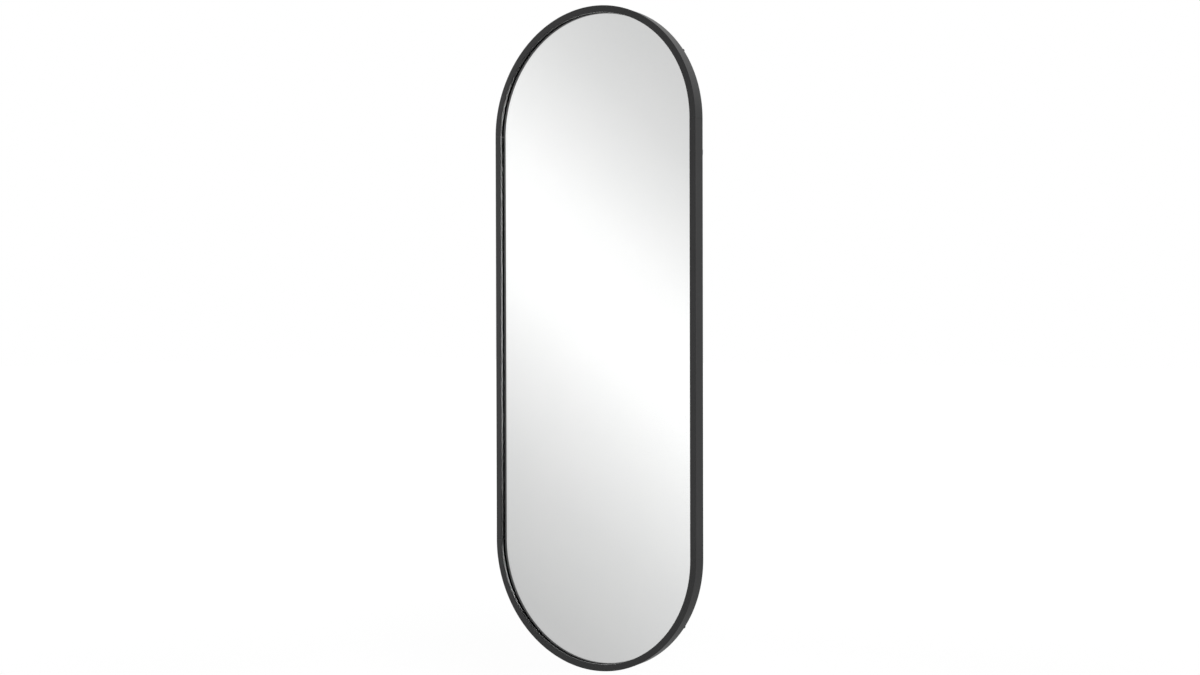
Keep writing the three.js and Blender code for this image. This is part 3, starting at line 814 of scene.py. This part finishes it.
shank_length = strap_front + STRAP_THICKNESS + SEAT_GAP - bar_front
for rail, right in (("right", 1), ("left", -1)):
    for place, drop in SCREW_DROPS.items():
        at = Vector((right * slot_radius, at_depth(bar_front), ring_height - drop))
        mesh = bmesh.new()
        rings = threaded_rings(mesh, at, shank_length, CROSS_ANGLES)[:-1]
        rings.append(ring_at(mesh, at, shank_length, CROSS_ANGLES, THREAD_RADIUS - SCREW_CHAMFER))
        rings.append(ring_at(mesh, at, shank_length, CROSS_ANGLES, HEAD_RADIUS - FINE_CHAMFER))
        rings.append(ring_at(mesh, at, shank_length + FINE_CHAMFER, CROSS_ANGLES, HEAD_RADIUS))
        for i in range(DOME_STEPS):
            outer = HEAD_RADIUS * math.sin(math.radians(90 - DOME_STEP_ANGLE * i))
            rings.append(ring_at(mesh, at, shank_length + dome(outer), CROSS_ANGLES, outer))
        for i in range(1, RECESS_RIM_STEPS + 1):
            ring = []
            for angle in CROSS_ANGLES:
                reach = outer + (cross(angle) - outer) * i / RECESS_RIM_STEPS
                ring.append(mesh.verts.new(round_point(at, angle, reach, shank_length + dome(reach))))
            rings.append(ring)
        floor_height = shank_length + HEAD_HEIGHT - CROSS_DEPTH
        rings.append(ring_at(
            mesh, at, floor_height, CROSS_ANGLES, lambda angle: cross(angle) * CROSS_TAPER_SHARE))
        stitched(mesh, rings)
        bmesh.ops.triangulate(mesh, faces=[face for face in mesh.faces if len(face.verts) > 4])
        piece = mesh_object(f"pan_head_screw_{rail}_{place}", mesh, zinc)
        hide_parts(f"hanger_screw_{rail}_{place}")
        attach(piece, "mirror")

# The hangers' rings
# Rings bent from 2.5 mm zinc-plated wire, with a straight leg that turns in the strap's eye. The
# wire's two ends meet in the middle of that leg, inside the eye.

RING_WIDTH = 0.020
RING_LENGTH = 0.019
RING_CORNER = 0.003
WIRE_SIDES = 28
RING_CORNER_STEPS = 14
RING_BOW_STEPS = 64
WIRE_JOINT = 0.0001

half = (RING_WIDTH - RING_WIRE) / 2
bow = RING_LENGTH - RING_WIRE / 2 - half
ring_line = [
    (WIRE_JOINT, 0),
    *arc(half - RING_CORNER, -RING_CORNER, RING_CORNER, 90, 0, RING_CORNER_STEPS),
    *arc(0, -bow, half, 0, -180, RING_BOW_STEPS),
    *arc(RING_CORNER - half, -RING_CORNER, RING_CORNER, 180, 90, RING_CORNER_STEPS),
    (-WIRE_JOINT, 0),
]
for rail, right in (("right", 1), ("left", -1)):
    mesh = bmesh.new()
    rings = []
    for i, (x, z) in enumerate(ring_line):
        last_x, last_z = ring_line[max(i - 1, 0)]
        next_x, next_z = ring_line[min(i + 1, len(ring_line) - 1)]
        run = Vector((next_x - last_x, next_z - last_z)).normalized()
        middle = Vector((right * slot_radius + x, at_depth(ring_depth), ring_height + z))
        ring = []
        for side in range(WIRE_SIDES):
            turn = 2 * math.pi * side / WIRE_SIDES
            out = Vector((-run.y * math.cos(turn), math.sin(turn), run.x * math.cos(turn)))
            ring.append(mesh.verts.new(middle + out * RING_WIRE / 2))
        rings.append(ring)
    stitched(mesh, rings)
    piece = mesh_object(f"bent_ring_{rail}", mesh, zinc)
    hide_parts(f"hanger_ring_{rail}")
    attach(piece, f"ring_{rail}")

# Rubber edge pads and wall bumpers
# Black rubber: strips pushed in between the glass's edge and the frame, and round bumpers stuck to the
# frame's back, two at each end.

BUMPER_RADIUS = 0.004
BUMPER_EDGE = 0.001
BUMPER_EDGE_STEPS = 10
BUMPER_ANGLES = {"right": 35, "left": 145}

rubber, tree, shader = fresh_material("black_rubber")
skin = noise(tree, scale=1500, detail=3)
dust = noise(tree, scale=180, detail=4)
dark = ramped(
    tree, dust, (0.3, (0.010, 0.010, 0.010)), (0.6, (0.016, 0.016, 0.0155)), (0.8, (0.026, 0.026, 0.025)))
tree.links.new(dark, shader.inputs["Base Color"])
tree.links.new(ranged(tree, skin, low=0.6, high=0.8), shader.inputs["Roughness"])
bumped(tree, shader, skin, distance=0.00003, strength=0.5)
for name in nodes:
    if name.startswith("edge_pad"):
        in_material(name, rubber)

bumper_reach = end_radius - slot_outside / 2
bumper_height = WALL_DEPTH - FRAME_DEPTH - SEAT_GAP
for end, up, rail, right in quarters:
    angle = math.radians(BUMPER_ANGLES[rail])
    at = Vector((bumper_reach * math.cos(angle), at_depth(FRAME_DEPTH + SEAT_GAP),
                 up * (seam_height + bumper_reach * math.sin(angle))))
    edge = (BUMPER_RADIUS - BUMPER_EDGE, bumper_height - BUMPER_EDGE)
    profile = [(BUMPER_RADIUS, 0), *arc(*edge, BUMPER_EDGE, 0, 90, BUMPER_EDGE_STEPS)]
    mesh = bmesh.new()
    stitched(mesh, [ring_at(mesh, at, height, ROUND_ANGLES, radius) for radius, height in profile])
    piece = mesh_object(f"round_bumper_{end}_{rail}", mesh, rubber)
    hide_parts(f"wall_bumper_{end}_{rail}")
    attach(piece, "mirror")

# The studio
# A pale floor under the hanging mirror, three soft boxes, and a sweep all round whose slow falloff the
# glass and the metal show, with one brighter pool on the left. A soft panel beside the camera lights
# the lip's inner wall. It shows only where the metal mirrors the glass, and not in the glass itself.

AMBIENT = 0.6
POOL_BEARING = math.radians(-60)
POOL_RISE = math.radians(-1)
POOL_FULL_WITHIN = math.radians(8)
POOL_GONE_BEYOND = math.radians(20)
POOL_GAIN = 2.2
FLOOR_HEIGHT = -1.02
FLOOR_HALF_SIZE = 30
FLOOR_GREY = 0.92
FLOOR_GLOW = 1.085
FLOOR_GLOW_SHARE_NEAR = 0.7
FLOOR_GLOW_RISES_OVER = (2.0, 5.0)
PANEL_PLACE = (1.45, -2.62, 0.25)
PANEL_FACING = (-1, 1.3, 0)
PANEL_REACH = (0.95, 1.15)
PANEL_SOFT_SHARE = 0.55
PANEL_GLOW = 7.0
SWEEP_TILT = (0.465, -0.481, 0.743)
# Each band is a place along the tilt, from -1 to 1, and the brightness there.
SWEEP_BANDS = (
    (-0.75, 0.42), (-0.35, 0.56), (-0.10, 0.66), (-0.051, 0.57), (0.02, 0.73),
    (0.075, 0.90), (0.115, 1.04), (0.15, 1.09), (0.19, 1.02), (0.225, 0.89),
    (0.265, 0.75), (0.30, 0.67), (0.38, 0.55), (0.6, 0.65), (0.8, 0.8),
)


def vector_node(tree, operation, vector, fixed=(0, 0, 0)):
    """The number that a Vector Math node makes of a vector, or of it and a fixed one."""
    node = tree.nodes.new("ShaderNodeVectorMath")
    node.operation = operation
    node.inputs[1].default_value = fixed
    tree.links.new(vector, node.inputs[0])
    return node.outputs["Value"]


def grey(level):
    """A plain grey of this level."""
    return level, level, level, 1


def show_surface(tree, closure):
    """The material's surface is what this output of a shader node gives."""
    output = next(node for node in tree.nodes if node.type == "OUTPUT_MATERIAL")
    tree.links.new(closure, output.inputs["Surface"])


world = bpy.data.worlds.new("studio")
bpy.context.scene.world = world
world.use_nodes = True
tree = world.node_tree
tree.nodes.clear()
place = tree.nodes.new("ShaderNodeTexCoord")
paths = tree.nodes.new("ShaderNodeLightPath")
mirrored = math_node(tree, "MAXIMUM", paths.outputs["Is Glossy Ray"], paths.outputs["Is Transmission Ray"])
tilt = vector_node(tree, "DOT_PRODUCT", place.outputs["Generated"], SWEEP_TILT)
across = ranged(tree, tilt, low=0, high=1, from_low=-1, from_high=1)
sweep = ramped(tree, across, *[((along + 1) / 2, (light, light, light)) for along, light in SWEEP_BANDS])
pool_middle = (
    math.sin(POOL_BEARING) * math.cos(POOL_RISE),
    -math.cos(POOL_BEARING) * math.cos(POOL_RISE),
    math.sin(POOL_RISE),
)
nearness = vector_node(tree, "DOT_PRODUCT", place.outputs["Generated"], pool_middle)
pool = ranged(tree, nearness, 0, 1, math.cos(POOL_GONE_BEYOND), math.cos(POOL_FULL_WITHIN), "SMOOTHSTEP")
lit = colour_mix(tree, pool, sweep, grey(POOL_GAIN), "ADD")
shown = colour_mix(tree, mirrored, grey(AMBIENT), lit)
seen = colour_mix(tree, paths.outputs["Is Camera Ray"], shown, grey(1))
background = tree.nodes.new("ShaderNodeBackground")
tree.links.new(seen, background.inputs["Color"])
world_output = tree.nodes.new("ShaderNodeOutputWorld")
tree.links.new(background.outputs[0], world_output.inputs["Surface"])

floor_white, tree, shader = fresh_material("white_floor")
shader.inputs["Base Color"].default_value = grey(FLOOR_GREY)
shader.inputs["Roughness"].default_value = 0.9
shader.inputs["Specular IOR Level"].default_value = 0.0
glow = tree.nodes.new("ShaderNodeEmission")
glow.inputs["Strength"].default_value = FLOOR_GLOW
place = tree.nodes.new("ShaderNodeTexCoord")
reach = vector_node(tree, "LENGTH", place.outputs["Object"])
fade = ranged(tree, reach, FLOOR_GLOW_SHARE_NEAR, 1.0, *FLOOR_GLOW_RISES_OVER)
paths = tree.nodes.new("ShaderNodeLightPath")
mix = tree.nodes.new("ShaderNodeMixShader")
tree.links.new(math_node(tree, "MULTIPLY", paths.outputs["Is Camera Ray"], fade), mix.inputs["Fac"])
tree.links.new(shader.outputs[0], mix.inputs[1])
tree.links.new(glow.outputs[0], mix.inputs[2])
show_surface(tree, mix.outputs[0])
floor_mesh = bmesh.new()
bmesh.ops.create_grid(floor_mesh, x_segments=1, y_segments=1, size=FLOOR_HALF_SIZE)
bmesh.ops.translate(floor_mesh, verts=floor_mesh.verts, vec=(0, 0, FLOOR_HEIGHT))
floor = mesh_object("floor", floor_mesh, floor_white)
floor.visible_glossy = False
floor.visible_transmission = False


def lamp(name, place, size, power):
    """A soft box that shines from its place towards the middle of the mirror."""
    data = bpy.data.lights.new(name, "AREA")
    data.shape = "RECTANGLE"
    data.size, data.size_y = size
    data.energy = power
    lamp_object = bpy.data.objects.new(name, data)
    lamp_object.location = place
    lamp_object.rotation_euler = (-Vector(place)).to_track_quat("-Z", "Y").to_euler()
    lamp_object.visible_camera = False
    lamp_object.visible_glossy = False
    lamp_object.visible_transmission = False
    bpy.context.scene.collection.objects.link(lamp_object)


lamp("right_box", place=(2.4, -2.6, 1.3), size=(1.6, 1.6), power=60)
lamp("top_box", place=(-0.6, -0.4, 3.0), size=(1.6, 1.2), power=14)
lamp("back_box", place=(-1.2, 2.2, 2.6), size=(1.6, 1.2), power=25)

panel_glow, tree, shader = fresh_material("soft_panel")
tree.nodes.remove(shader)
place = tree.nodes.new("ShaderNodeTexCoord")
oval = tree.nodes.new("ShaderNodeMapping")
oval.inputs["Scale"].default_value = [1 / reach for reach in PANEL_REACH] + [1]
tree.links.new(place.outputs["Object"], oval.inputs["Vector"])
from_middle = vector_node(tree, "LENGTH", oval.outputs["Vector"])
soft_edge = ranged(tree, from_middle, 0, PANEL_GLOW, 1.0, PANEL_SOFT_SHARE, "SMOOTHSTEP")
paths = tree.nodes.new("ShaderNodeLightPath")
twice = math_node(tree, "COMPARE", paths.outputs["Glossy Depth"], 2)
metal_then_glass = math_node(tree, "MULTIPLY", twice, paths.outputs["Is Transmission Ray"])
glow = tree.nodes.new("ShaderNodeEmission")
strength = math_node(tree, "MULTIPLY", soft_edge, metal_then_glass)
tree.links.new(strength, glow.inputs["Strength"])
clear = tree.nodes.new("ShaderNodeBsdfTransparent")
glow_in_air = tree.nodes.new("ShaderNodeAddShader")
tree.links.new(clear.outputs[0], glow_in_air.inputs[0])
tree.links.new(glow.outputs[0], glow_in_air.inputs[1])
show_surface(tree, glow_in_air.outputs[0])
panel_mesh = bmesh.new()
bmesh.ops.create_grid(panel_mesh, x_segments=1, y_segments=1, size=1)
bmesh.ops.scale(panel_mesh, verts=panel_mesh.verts, vec=(*PANEL_REACH, 1))
panel = mesh_object("soft_panel", panel_mesh, panel_glow)
facing = Vector(PANEL_FACING).to_track_quat("-Z", "Y").to_matrix().to_4x4()
panel.matrix_world = Matrix.Translation(PANEL_PLACE) @ facing
for unseen in ("visible_camera", "visible_diffuse", "visible_shadow", "visible_volume_scatter"):
    setattr(panel, unseen, False)

# The camera
# Level with the middle of the mirror, in front of it and to its right. The place, the turn and the
# focal length were fitted to the frame's edges in the photograph.

EYE = (1.6463, at_depth(-2.3831), 0.0307)
YAW = math.radians(34.257)
PITCH = 0.00955
ROLL = -0.00229
FOCAL_PIXELS = 1374.0
PHOTO_WIDTH_PIXELS = 1200
SENSOR_WIDTH = 36

camera_data = bpy.data.cameras.new("camera")
camera_data.sensor_fit = "HORIZONTAL"
camera_data.sensor_width = SENSOR_WIDTH
camera_data.lens = SENSOR_WIDTH * FOCAL_PIXELS / PHOTO_WIDTH_PIXELS
camera = bpy.data.objects.new("camera", camera_data)
bpy.context.scene.collection.objects.link(camera)
right = Vector((math.cos(YAW), math.sin(YAW), 0))
ahead = Vector((-math.sin(YAW), math.cos(YAW), 0))
up = Vector((0, 0, 1))
tilted_ahead = ahead * math.cos(PITCH) - up * math.sin(PITCH)
tilted_up = up * math.cos(PITCH) + ahead * math.sin(PITCH)
rolled_right = right * math.cos(ROLL) + tilted_up * math.sin(ROLL)
rolled_up = tilted_up * math.cos(ROLL) - right * math.sin(ROLL)
turn = Matrix((rolled_right, rolled_up, -tilted_ahead)).transposed()
camera.matrix_world = Matrix.Translation(EYE) @ turn.to_4x4()
bpy.context.scene.camera = camera
bpy.context.scene.view_settings.view_transform = "Standard"
